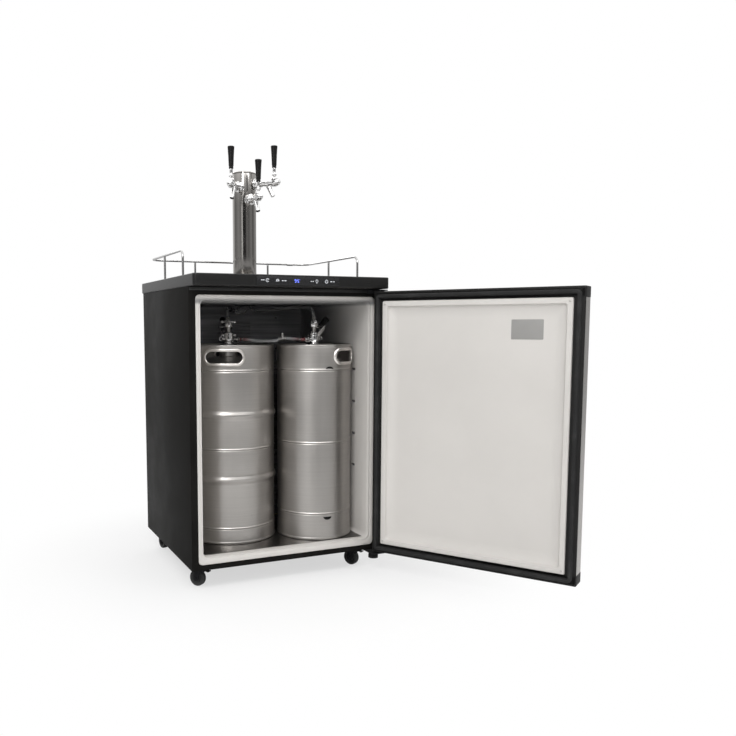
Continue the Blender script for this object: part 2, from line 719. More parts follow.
def build_foam():
    """Foam between the wrap and the white tub."""
    inside = HALF_WIDTH - SHEET - GAP
    start = FRONT + FLANGE_THICKNESS + GAP
    foam = block("foam_insulation", (-inside, start, PAN_THICKNESS + GAP),
                 (inside, BACK - SHEET - GAP, CABINET_HEIGHT - SHEET - GAP))
    tub = prism("foam_tub", tub_outline(LINER_WALL + GAP, FRONT - LINER_ROUND * 2),
                TUB_HALF + LINER_WALL + GAP, corner=LINER_ROUND)
    machine = block("foam_machine", (-CABINET_WIDTH, MACHINE_FRONT, -OVERRUN),
                    (CABINET_WIDTH, BACK + OVERRUN, MACHINE_HEIGHT))
    hole = rod("foam_line_hole", LINE_HOLE_RADIUS, (0, TOWER_Y, TUB_TOP),
               (0, TOWER_Y, CABINET_HEIGHT + OVERRUN), segments=24)
    place(foam, "foam")
    cut(foam, tub, machine, hole)


def build_liner():
    """White moulded tub with its front flange and the ledges for shelves."""
    front = FRONT + FLANGE_THICKNESS / 2
    tub = prism("inner_liner", tub_outline(LINER_WALL, FRONT - LINER_ROUND * 2),
                TUB_HALF + LINER_WALL, corner=LINER_ROUND)
    trim = block("liner_trim", (-CABINET_WIDTH, FRONT - LINER_ROUND * 4, -OVERRUN),
                 (CABINET_WIDTH, front, CABINET_HEIGHT))
    flange = block("liner_flange", (-FLANGE_HALF, FRONT, FRAME_BOTTOM),
                   (FLANGE_HALF, FRONT + FLANGE_THICKNESS, FLANGE_TOP),
                   corner=FLANGE_CORNER, along=1)
    hollow = prism("liner_hollow", tub_outline(0, FRONT - LINER_ROUND * 2), TUB_HALF,
                   corner=LINER_ROUND)
    ledges = []
    for side in (-1, 1):
        for index in range(LEDGE_COUNT):
            top = LEDGE_TOP - index * LEDGE_PITCH
            inner = side * (TUB_HALF - LEDGE_REACH)
            outer = side * (TUB_HALF + BITE)
            for start in LEDGE_STARTS:
                ledges.append(block("ledge", (min(inner, outer), FRONT + start, top - LEDGE_THICKNESS),
                                    (max(inner, outer), FRONT + start + LEDGE_LENGTH, top)))
    hole = rod("liner_line_hole", LINE_HOLE_RADIUS - LINER_WALL, (0, TOWER_Y, TUB_TOP - OVERRUN),
               (0, TOWER_Y, TUB_TOP + OVERRUN), segments=24)
    place(tub, "white_plastic")
    cut(tub, trim)
    join(tub, flange)
    cut(tub, hollow, hole)
    join(tub, merged("ledges", ledges))


def build_floor_plate():
    """Stainless sheet that the kegs stand on."""
    plate = block("floor_plate",
                  (-TUB_HALF + PLATE_MARGIN, FRONT + PLATE_SETBACK, TUB_BOTTOM + GAP),
                  (TUB_HALF - PLATE_MARGIN, STEP_FRONT - LINER_ROUND - GAP, FLOOR_TOP),
                  corner=PLATE_MARGIN, along=2)
    place(plate, "steel")


def build_air_cover():
    """Slotted cover over the evaporator's fan, on the back wall."""
    top = TUB_TOP - AIR_COVER_DROP
    back = TUB_BACK - GAP
    half = AIR_COVER_WIDTH / 2
    cover = block("evaporator_cover", (-half, back - AIR_COVER_DEPTH, top - AIR_COVER_HEIGHT),
                  (half, back, top), corner=AIR_COVER_ROUND, segments=2)
    hollow = block("air_hollow",
                   (-half + AIR_COVER_WALL, back - AIR_COVER_DEPTH + AIR_COVER_WALL,
                    top - AIR_COVER_HEIGHT + AIR_COVER_WALL),
                   (half - AIR_COVER_WALL, back + OVERRUN, top - AIR_COVER_WALL))
    slots = []
    middle = top - AIR_COVER_HEIGHT / 2
    for index in range(AIR_SLOT_COUNT):
        height = middle + (index - (AIR_SLOT_COUNT - 1) / 2) * AIR_SLOT_PITCH
        slots.append(block("slot", (-AIR_SLOT_LENGTH / 2, back - AIR_COVER_DEPTH - OVERRUN,
                                    height - AIR_SLOT_HEIGHT / 2),
                           (AIR_SLOT_LENGTH / 2, back - AIR_COVER_DEPTH + AIR_COVER_WALL + BITE,
                            height + AIR_SLOT_HEIGHT / 2)))
    place(cover, "white_plastic")
    cut(cover, hollow, merged("air_slots", slots))


def build_compressor():
    """Sealed compressor on its rubber feet, with its two tube stubs."""
    pivot = empty("compressor_place", (-COMPRESSOR_SIDE, (MACHINE_FRONT + BACK - SHEET) / 2,
                                       PAN_THICKNESS + GAP))
    radius = COMPRESSOR_RADIUS
    bottom = COMPRESSOR_FOOT_HEIGHT
    top = bottom + COMPRESSOR_HEIGHT
    middle = (bottom + top) / 2
    shoulder = COMPRESSOR_SHOULDER
    profile = [(0, top)]
    for step in range(1, 5):
        turn = math.radians(90 - 22.5 * step)
        profile.append((radius - shoulder + shoulder * math.cos(turn),
                        top - shoulder + shoulder * math.sin(turn)))
    profile += [(radius, middle + COMPRESSOR_SEAM), (radius + COMPRESSOR_SEAM, middle + COMPRESSOR_SEAM),
                (radius + COMPRESSOR_SEAM, middle - COMPRESSOR_SEAM), (radius, middle - COMPRESSOR_SEAM)]
    for step in range(0, 4):
        turn = math.radians(-22.5 * step)
        profile.append((radius - shoulder + shoulder * math.cos(turn),
                        bottom + shoulder + shoulder * math.sin(turn)))
    profile.append((0, bottom))
    pot = turned("compressor", profile, 20)
    place(pot, "black_steel", parent=pivot)
    plate = block("compressor_plate",
                  (-COMPRESSOR_FOOT_WIDTH / 2, -COMPRESSOR_FOOT_DEPTH / 2, bottom - COMPRESSOR_FOOT_PLATE),
                  (COMPRESSOR_FOOT_WIDTH / 2, COMPRESSOR_FOOT_DEPTH / 2, bottom + BITE),
                  corner=COMPRESSOR_FOOT_INSET, along=2)
    join(pot, plate, parent=pivot)
    for x_side in (-1, 1):
        for y_side in (-1, 1):
            spot = (x_side * (COMPRESSOR_FOOT_WIDTH / 2 - COMPRESSOR_FOOT_INSET),
                    y_side * (COMPRESSOR_FOOT_DEPTH / 2 - COMPRESSOR_FOOT_INSET))
            join(pot, rod("compressor_foot", COMPRESSOR_FOOT_RADIUS, (*spot, 0),
                          (*spot, bottom - COMPRESSOR_FOOT_PLATE + BITE), segments=10), parent=pivot)
    for side in (-1, 1):
        x = side * (radius - COMPRESSOR_TUBE_BEND)
        start = top - shoulder
        route = [(x, 0, start), (x, 0, top + COMPRESSOR_TUBE_RISE / 2)]
        route += bend((x + side * COMPRESSOR_TUBE_BEND, 0, top + COMPRESSOR_TUBE_RISE / 2), 180, 90,
                      COMPRESSOR_TUBE_BEND, (side, 0, 0), (0, 0, 1))[1:]
        route.append((x + side * 3 * COMPRESSOR_TUBE_BEND, 0, route[-1][2]))
        join(pot, wire("compressor_tube", route, COMPRESSOR_TUBE), parent=pivot)


def build_worktop():
    """Moulded top with the tray's recess, the line hole, post holes and panel pocket."""
    half = HALF_WIDTH + WORKTOP_SIDE_OVERHANG
    top = block("worktop", (-half, WORKTOP_FRONT, WORKTOP_BOTTOM), (half, WORKTOP_BACK, WORKTOP_TOP),
                corner=WORKTOP_CORNER, along=2)
    place(top, "black_plastic")
    edge = top.modifiers.new("edge", 'BEVEL')
    edge.width = WORKTOP_EDGE
    edge.segments = 2
    edge.limit_method = 'ANGLE'
    edge.angle_limit = math.radians(50)
    hole = rod("top_line_hole", LINE_HOLE_RADIUS, (0, TOWER_Y, WORKTOP_BOTTOM - OVERRUN),
               (0, TOWER_Y, WORKTOP_TOP + OVERRUN), segments=24)
    recess = block("tray_recess",
                   (-TRAY_WIDTH / 2 - GAP * 2, TRAY_FRONT - GAP * 2, WORKTOP_TOP - TRAY_RECESS),
                   (TRAY_WIDTH / 2 + GAP * 2, TRAY_BACK + GAP * 2, WORKTOP_TOP + OVERRUN),
                   corner=TRAY_CORNER, along=2)
    pocket = block("panel_pocket", (-PANEL_LEFT - GAP, WORKTOP_FRONT - OVERRUN, PANEL_Z - GAP),
                   (PANEL_RIGHT + GAP, WORKTOP_FRONT + PANEL_THICKNESS + GAP,
                    PANEL_Z + PANEL_HEIGHT + GAP), corner=PANEL_CORNER, along=1, segments=1)
    cut(top, hole, recess, pocket)
    for index, (x, y) in enumerate(rail_posts()):
        cut(top, rod(f"post_hole_{index}", RAIL_WIRE + GAP, (x, y, WORKTOP_TOP - RAIL_POST_DEPTH - GAP),
                     (x, y, WORKTOP_TOP + OVERRUN), segments=10))


def build_control_panel():
    """Gloss strip in the front edge, with the raised display window."""
    panel = block("control_panel", (-PANEL_LEFT, WORKTOP_FRONT, PANEL_Z),
                  (PANEL_RIGHT, WORKTOP_FRONT + PANEL_THICKNESS, PANEL_Z + PANEL_HEIGHT),
                  corner=PANEL_CORNER, along=1, segments=1)
    middle = PANEL_Z + PANEL_HEIGHT / 2
    window = block("display_window",
                   (-DISPLAY_WIDTH / 2, WORKTOP_FRONT - DISPLAY_RELIEF, middle - DISPLAY_HEIGHT / 2),
                   (DISPLAY_WIDTH / 2, WORKTOP_FRONT + PANEL_THICKNESS / 2, middle + DISPLAY_HEIGHT / 2))
    place(panel, "panel")
    join(panel, window)


def rail_posts():
    """The rail's six feet, as (x, y): two front ends, two sides and two at the back."""
    side_post = BACK - RAIL_SIDE_POST_INSET
    return [(-RAIL_X, RAIL_FRONT), (RAIL_X, RAIL_FRONT), (-RAIL_X, side_post), (RAIL_X, side_post),
            (-RAIL_BACK_POSTS, RAIL_BACK), (RAIL_BACK_POSTS, RAIL_BACK)]


def build_guard_rail():
    """Bent wire rail on six posts, with the sleeve over its splice."""
    level = WORKTOP_TOP + RAIL_HEIGHT
    foot = WORKTOP_TOP - RAIL_POST_DEPTH
    route = []
    for side in (-1, 1):
        x = side * RAIL_X
        half = [(x, RAIL_FRONT, foot), (x, RAIL_FRONT, level - RAIL_FRONT_BEND)]
        half += bend((x, RAIL_FRONT + RAIL_FRONT_BEND, level - RAIL_FRONT_BEND), 180, 90,
                     RAIL_FRONT_BEND, (0, 1, 0), (0, 0, 1))[1:]
        half += bend((x - side * RAIL_CORNER, RAIL_BACK - RAIL_CORNER, level), 0, 90,
                     RAIL_CORNER, (side, 0, 0), (0, 1, 0), steps=6)
        route += half if side < 0 else half[::-1]
    rail = wire("guard_rail", route, RAIL_WIRE)
    place(rail, "chrome")
    for index, (x, y) in enumerate(rail_posts()):
        collar = rod(f"collar_{index}", RAIL_COLLAR_RADIUS, (x, y, WORKTOP_TOP + GAP),
                     (x, y, WORKTOP_TOP + GAP + RAIL_COLLAR_HEIGHT), segments=10)
        if index > 1:
            join(rail, rod(f"post_{index}", RAIL_WIRE, (x, y, foot), (x, y, level), segments=8))
        join(rail, collar)
    sleeve = RAIL_X - RAIL_SLEEVE_INSET
    join(rail, rod("rail_sleeve", RAIL_SLEEVE_RADIUS, (sleeve - RAIL_SLEEVE_LENGTH / 2, RAIL_BACK, level),
                   (sleeve + RAIL_SLEEVE_LENGTH / 2, RAIL_BACK, level), segments=10))


def build_drip_tray():
    """Stainless tray in the worktop's recess, and the slotted grille on its ledge."""
    half = TRAY_WIDTH / 2
    low = WORKTOP_TOP - TRAY_RECESS + GAP
    high = low + TRAY_HEIGHT
    seat = high - TRAY_LEDGE_DROP
    tray = block("drip_tray", (-half, TRAY_FRONT, low), (half, TRAY_BACK, high),
                 corner=TRAY_CORNER, along=2)
    well = block("tray_well", (-half + TRAY_LEDGE, TRAY_FRONT + TRAY_LEDGE, low + TRAY_WALL),
                 (half - TRAY_LEDGE, TRAY_BACK - TRAY_LEDGE, high + OVERRUN),
                 corner=TRAY_CORNER - TRAY_LEDGE, along=2)
    rim = block("tray_rim", (-half + TRAY_WALL, TRAY_FRONT + TRAY_WALL, seat),
                (half - TRAY_WALL, TRAY_BACK - TRAY_WALL, high + OVERRUN),
                corner=TRAY_CORNER - TRAY_WALL, along=2)
    place(tray, "steel")
    cut(tray, well, rim)
    inset = TRAY_WALL + GAP
    grille = block("drip_grille", (-half + inset, TRAY_FRONT + inset, seat + GAP),
                   (half - inset, TRAY_BACK - inset, seat + GAP + GRILLE_THICKNESS),
                   corner=TRAY_CORNER - inset, along=2)
    slots = []
    span = TRAY_WIDTH - 2 * GRILLE_SLOT_MARGIN - GRILLE_SLOT_WIDTH
    for index in range(GRILLE_SLOT_COUNT):
        x = span * (index / (GRILLE_SLOT_COUNT - 1) - 1 / 2)
        slots.append(block("slot",
                           (x - GRILLE_SLOT_WIDTH / 2, TRAY_FRONT + GRILLE_SLOT_MARGIN, seat - OVERRUN),
                           (x + GRILLE_SLOT_WIDTH / 2, TRAY_BACK - GRILLE_SLOT_MARGIN, high + OVERRUN)))
    place(grille, "steel")
    cut(grille, merged("grille_slots", slots))


def build_tower():
    """Column, base ring and cap of the draught tower."""
    base = WORKTOP_TOP + GAP
    column_low = base + TOWER_BASE_THICKNESS + GAP
    column_top = WORKTOP_TOP + TOWER_HEIGHT - TOWER_CAP_HEIGHT
    inner = TOWER_RADIUS - TOWER_WALL
    column = turned("tower_column", [(inner, column_top), (TOWER_RADIUS, column_top),
                                     (TOWER_RADIUS, column_low), (inner, column_low)], 32, closed=True)
    place(column, "steel", location=(0, TOWER_Y, 0))
    for name, angle, height in FAUCETS:
        turn = math.radians(angle)
        way = Vector((math.sin(turn), -math.cos(turn), 0))
        axis = Vector((0, TOWER_Y, WORKTOP_TOP + height))
        cut(column, rod("shank_hole_" + name, SHANK_RADIUS + GAP, axis + way * (TOWER_RADIUS - OVERRUN * 2),
                        axis + way * (TOWER_RADIUS + OVERRUN)))
    collar = TOWER_RADIUS + GAP + TOWER_COLLAR_WALL
    hole = LINE_HOLE_RADIUS
    ring = turned("tower_base", [(hole, base + TOWER_BASE_THICKNESS),
                                 (TOWER_RADIUS + GAP, base + TOWER_BASE_THICKNESS),
                                 (TOWER_RADIUS + GAP, base + TOWER_COLLAR_HEIGHT),
                                 (collar, base + TOWER_COLLAR_HEIGHT),
                                 (collar + TOWER_COLLAR_WALL / 2, base + TOWER_BASE_THICKNESS),
                                 (TOWER_BASE_RADIUS - TOWER_BASE_THICKNESS / 2,
                                  base + TOWER_BASE_THICKNESS),
                                 (TOWER_BASE_RADIUS, base + TOWER_BASE_THICKNESS / 2),
                                 (TOWER_BASE_RADIUS, base), (hole, base)], 32, closed=True)
    place(ring, "steel", location=(0, TOWER_Y, 0))
    top = column_top + GAP
    plug = inner - GAP
    cap = turned("tower_cap", [(0, top + TOWER_CAP_HEIGHT),
                               (TOWER_RADIUS - TOWER_CAP_ROUND, top + TOWER_CAP_HEIGHT),
                               (TOWER_RADIUS, top + TOWER_CAP_HEIGHT - TOWER_CAP_ROUND),
                               (TOWER_RADIUS, top), (plug, top), (plug, top - TOWER_CAP_PLUG),
                               (plug - TOWER_CAP_ROUND, top - TOWER_CAP_PLUG),
                               (plug - TOWER_CAP_ROUND, top), (0, top)], 32)
    place(cap, "steel", location=(0, TOWER_Y, 0))


def build_faucet(name, angle, height):
    """One tap: its shank through the tower, body, valve plunger, lever and handle.

    In the pivot's own frame +X points away from the tower.
    """
    pivot = empty("faucet_" + name, (0, TOWER_Y, WORKTOP_TOP + height), angle - 90)
    flange_start = TOWER_RADIUS + GAP + SHANK_RADIUS ** 2 / TOWER_RADIUS / 2
    shank = rod("tap_shank_" + name, SHANK_RADIUS, (SHANK_INNER_END, 0, 0), (SHANK_OUTER_END, 0, 0))
    flange = rod("shank_flange", SHANK_FLANGE_RADIUS, (TOWER_RADIUS + GAP, 0, 0),
                 (flange_start + SHANK_FLANGE_THICKNESS, 0, 0))
    nut = rod("shank_nut", SHANK_NUT_RADIUS, (SHANK_OUTER_END - SHANK_NUT_LENGTH, 0, 0),
              (SHANK_OUTER_END, 0, 0))
    drop = [(SHANK_INNER_END + BITE * 2, 0, 0), (ELBOW_REACH + ELBOW_BEND, 0, 0)]
    drop += bend((ELBOW_REACH + ELBOW_BEND, 0, -ELBOW_BEND), 90, 180, ELBOW_BEND, (1, 0, 0), (0, 0, 1),
                 steps=4)[1:]
    drop.append((ELBOW_REACH, 0, -ELBOW_DROP))
    elbow = wire("shank_elbow", drop, ELBOW_RADIUS)
    bore = rod("shank_bore", SHANK_BORE, (SHANK_INNER_END + BITE * 4, 0, 0),
               (SHANK_OUTER_END + OVERRUN, 0, 0))
    place(shank, "chrome", parent=pivot)
    join(shank, flange, nut, elbow, parent=pivot)
    cut(shank, bore, parent=pivot)

    start = SHANK_OUTER_END + GAP
    body = rod("tap_body_" + name, BARREL_RADIUS, (start, 0, 0), (BARREL_END, 0, 0))
    nose = rod("tap_nose", BARREL_RADIUS - BITE / 2, (BARREL_END - BITE, 0, 0),
               (BARREL_END + BARREL_NOSE, 0, 0),
               radius_end=BARREL_WAIST)
    bonnet = rod("tap_bonnet", BONNET_RADIUS, (BONNET_REACH, 0, -BONNET_BOTTOM),
                 (BONNET_REACH, 0, BONNET_TOP))
    lean = math.radians(SPOUT_LEAN)
    way = Vector((math.sin(lean), 0, -math.cos(lean)))
    mouth = Vector((SPOUT_REACH, 0, 0))
    spout = rod("tap_spout", SPOUT_RADIUS, mouth, mouth + way * SPOUT_LENGTH,
                radius_end=SPOUT_TIP_RADIUS, segments=16)
    flow = rod("tap_flow", SPOUT_BORE, mouth + way * BITE, mouth + way * (SPOUT_LENGTH + OVERRUN),
               segments=14)
    socket = BALL_RADIUS + BALL_CLEARANCE
    throat = rod("tap_throat", socket, (BONNET_REACH, 0, 0), (BONNET_REACH, 0, BONNET_TOP + OVERRUN))
    channel = rod("tap_channel", PLUNGER_RADIUS + PLUNGER_CLEARANCE, (start - OVERRUN, 0, 0),
                  (BONNET_REACH + PLUNGER_FRONT + PLUNGER_CLEARANCE, 0, 0), segments=16)
    pocket = block("tap_pocket", (BONNET_REACH - LEVER_POCKET_BACK, -LEVER_POCKET_WIDTH / 2, -BITE),
                   (BONNET_REACH - BITE, LEVER_POCKET_WIDTH / 2, BARREL_RADIUS - BITE * 2))
    place(body, "chrome", parent=pivot)
    join(body, nose, bonnet, spout, parent=pivot)
    cut(body, flow, throat, channel, pocket, parent=pivot)

    plunger = rod("tap_plunger_" + name, PLUNGER_RADIUS, (PLUNGER_FRONT - PLUNGER_LENGTH, 0, 0),
                  (PLUNGER_FRONT, 0, 0), segments=16)
    slot = block("plunger_slot",
                 (BONNET_REACH - PLUNGER_SLOT / 2, -PLUNGER_SLOT_WIDTH / 2, PLUNGER_SLOT_FLOOR),
                 (BONNET_REACH + PLUNGER_SLOT / 2, PLUNGER_SLOT_WIDTH / 2, PLUNGER_RADIUS + OVERRUN))
    place(plunger, "steel", parent=pivot, location=(BONNET_REACH, 0, 0))
    cut(plunger, slot, parent=pivot)

    tip = LEVER_TIP_RISE - BALL_RISE
    ferrule = LEVER_FERRULE_START - BALL_RISE
    ferrule_top = ferrule + LEVER_FERRULE_HEIGHT
    collar = LEVER_COLLAR_START - BALL_RISE
    collar_top = collar + LEVER_COLLAR_HEIGHT
    profile = [(0, ferrule_top), (LEVER_FERRULE_RADIUS, ferrule_top), (LEVER_FERRULE_RADIUS, ferrule),
               (LEVER_STEM_RADIUS, ferrule - BITE), (LEVER_STEM_RADIUS, collar_top),
               (LEVER_COLLAR_RADIUS, collar_top - BITE), (LEVER_COLLAR_RADIUS, collar + BITE),
               (LEVER_COLLAR_RADIUS - BITE, collar), (LEVER_STEM_RADIUS, collar)]
    top_turn = math.asin(LEVER_STEM_RADIUS / BALL_RADIUS)
    low_turn = math.pi - math.asin(LEVER_TIP_RADIUS / BALL_RADIUS)
    steps = 6
    for step in range(steps + 1):
        turn = top_turn + (low_turn - top_turn) * step / steps
        profile.append((BALL_RADIUS * math.sin(turn), BALL_RADIUS * math.cos(turn)))
    profile += [(LEVER_TIP_RADIUS, tip), (0, tip)]
    lever = turned("tap_lever_" + name, profile, 16)
    place(lever, "chrome", parent=pivot, location=(BONNET_REACH, 0, BALL_RISE))

    foot = ferrule_top + GAP
    head = foot + HANDLE_HEIGHT
    handle = turned("tap_handle_" + name, [(0, head), (HANDLE_TOP_RADIUS - HANDLE_ROUND, head),
                                           (HANDLE_TOP_RADIUS, head - HANDLE_ROUND),
                                           (HANDLE_FOOT_RADIUS, foot + HANDLE_ROUND),
                                           (HANDLE_FOOT_RADIUS - HANDLE_ROUND, foot), (0, foot)], 20)
    place(handle, "black_plastic", parent=pivot, location=(BONNET_REACH, 0, BALL_RISE))


def build_door():
    """The door in its own frame: its pivot is the hinge axis, closed it lies along -X."""
    pivot = empty("door_pivot", PIVOT, DOOR_OPEN_ANGLE)
    right = PIVOT_SIDE
    left = PIVOT_SIDE - DOOR_WIDTH
    inner = PIVOT_DEPTH
    outer = PIVOT_DEPTH - DOOR_THICKNESS
    low = DOOR_BOTTOM
    high = DOOR_TOP

    frame = block("door_frame", (left + DOOR_SKIN + GAP, outer + DOOR_SKIN + GAP, low),
                  (right - DOOR_SKIN - GAP, inner, high), corner=DOOR_EDGE_ROUND, along=2, segments=2)
    place(frame, "black_plastic", parent=pivot)
    for name, start, end in (("low", low, low + DOOR_CAP), ("high", high - DOOR_CAP, high)):
        join(frame, block("door_cap_" + name, (left, outer, start), (right, inner - BITE, end),
                          corner=DOOR_EDGE_ROUND, along=2, segments=2), parent=pivot)
    window = block("door_window", (left + DOOR_RIM, outer - OVERRUN, low + DOOR_CAP + DOOR_LINER_LAP),
                   (right - DOOR_RIM, inner + OVERRUN, high - DOOR_CAP - DOOR_LINER_LAP))
    rebate = block("door_rebate", (left + DOOR_RIM, inner - DOOR_LINER_LAP, low + DOOR_RIM),
                   (right - DOOR_RIM, inner + OVERRUN, high - DOOR_RIM))
    sockets = [rod("door_pin_hole_" + name, PIN_RADIUS + RUNNING, (0, 0, z - PIN_LENGTH - GAP),
                   (0, 0, z + PIN_LENGTH + GAP)) for name, z in (("low", low), ("high", high))]
    cut(frame, window, rebate, *sockets, parent=pivot)

    skin = block("door_skin", (left, outer, low + DOOR_CAP + GAP),
                 (right, inner - DOOR_EDGE_ROUND, high - DOOR_CAP - GAP),
                 corner=DOOR_EDGE_ROUND, along=2, segments=2)
    core = block("door_skin_core", (left + DOOR_SKIN, outer + DOOR_SKIN, low),
                 (right - DOOR_SKIN, inner + OVERRUN, high))
    place(skin, "steel", parent=pivot)
    cut(skin, core, parent=pivot)

    x_low = left + DOOR_RIM + GAP
    x_high = right - DOOR_RIM - GAP
    z_low = low + DOOR_RIM + GAP
    z_high = high - DOOR_RIM - GAP
    face = inner + DOOR_LINER_RISE
    back = inner - DOOR_LINER_LAP + GAP
    liner = block("door_liner", (x_low, back, z_low), (x_high, face, z_high))
    ridge = DOOR_LINER_RIDGE
    dish = block("liner_dish", (x_low + ridge, face - DOOR_LINER_DISH, z_low + ridge),
                 (x_high - ridge, face + OVERRUN, z_high - ridge), corner=DOOR_LINER_ROUND / 2)
    behind = DOOR_LINER_DISH + DOOR_LINER_WALL
    pan = block("liner_pan",
                (x_low + ridge - DOOR_LINER_WALL, face - behind, z_low + ridge - DOOR_LINER_WALL),
                (x_high - ridge + DOOR_LINER_WALL, face - BITE, z_high - ridge + DOOR_LINER_WALL))
    place(liner, "white_plastic", parent=pivot)
    join(liner, pan, parent=pivot)
    cut(liner, dish, parent=pivot)


def build_gasket():
    """Magnetic seal: a soft square ring on the door's rim."""
    pivot = bpy.data.objects["door_pivot"]
    left = PIVOT_SIDE - DOOR_WIDTH + GASKET_INSET
    right = PIVOT_SIDE - GASKET_INSET
    low = DOOR_BOTTOM + GASKET_INSET
    high = DOOR_TOP - GASKET_INSET
    start = PIVOT_DEPTH + GAP
    gasket = block("door_gasket", (left, start, low), (right, start + GASKET_THICKNESS, high),
                   corner=GASKET_WIDTH, along=1)
    opening = block("gasket_opening", (left + GASKET_WIDTH, start - OVERRUN, low + GASKET_WIDTH),
                    (right - GASKET_WIDTH, start + GASKET_THICKNESS + OVERRUN, high - GASKET_WIDTH))
    place(gasket, "rubber", parent=pivot)
    cut(gasket, opening, parent=pivot)


def build_hinges():
    """Top and bottom brackets with their pins, and the levelling foot."""
    x, y, _ = PIVOT
    right = HALF_WIDTH
    left = right - HINGE_FLANGE_WIDTH
    top_low = DOOR_TOP + (WORKTOP_BOTTOM - DOOR_TOP - HINGE_PLATE) / 2
    top = block("hinge_top", (x - HINGE_ARM / 2, y - HINGE_ARM / 2, top_low),
                (x + PIVOT_SIDE, FRONT - GAP, top_low + HINGE_PLATE), corner=HINGE_CORNER, along=2)
    flange = block("hinge_top_flange",
                   (left, FRONT - GAP - HINGE_PLATE, top_low + HINGE_PLATE - HINGE_FLANGE_HEIGHT),
                   (right, FRONT - GAP, top_low + HINGE_PLATE))
    pin = rod("hinge_top_pin", PIN_RADIUS, (x, y, top_low + BITE), (x, y, DOOR_TOP - PIN_LENGTH))
    washer = rod("hinge_top_washer", HINGE_WASHER_RADIUS, (x, y, top_low + BITE), (x, y, DOOR_TOP + GAP))
    place(top, "black_steel")
    join(top, flange, pin, washer)

    arm_top = -GAP
    bottom = block("hinge_bottom", (left, y - HINGE_ARM / 2, arm_top - HINGE_PLATE),
                   (right, y + HINGE_UNDER_LENGTH, arm_top), corner=HINGE_CORNER, along=2)
    pin = rod("hinge_bottom_pin", PIN_RADIUS, (x, y, arm_top - BITE), (x, y, DOOR_BOTTOM + PIN_LENGTH))
    washer = rod("hinge_bottom_washer", HINGE_WASHER_RADIUS, (x, y, arm_top - BITE),
                 (x, y, DOOR_BOTTOM - GAP))
    hole = rod("foot_hole", FOOT_STEM + GAP, (FOOT_X, FOOT_Y, -OVERRUN - HINGE_PLATE),
               (FOOT_X, FOOT_Y, OVERRUN))
    place(bottom, "black_steel")
    join(bottom, pin, washer)
    cut(bottom, hole)

    head = arm_top - HINGE_PLATE - GAP
    foot_low = head - FOOT_HEIGHT
    foot = turned("levelling_foot",
                  [(0, arm_top), (FOOT_STEM, arm_top), (FOOT_STEM, head - FOOT_HEIGHT / 3),
                                     (FOOT_RADIUS - FOOT_CHAMFER, head - FOOT_HEIGHT / 3),
                                     (FOOT_RADIUS, head - FOOT_HEIGHT / 3 - FOOT_CHAMFER),
                                     (FOOT_RADIUS, foot_low), (0, foot_low)], 24)
    place(foot, "black_plastic", location=(FOOT_X, FOOT_Y, 0))


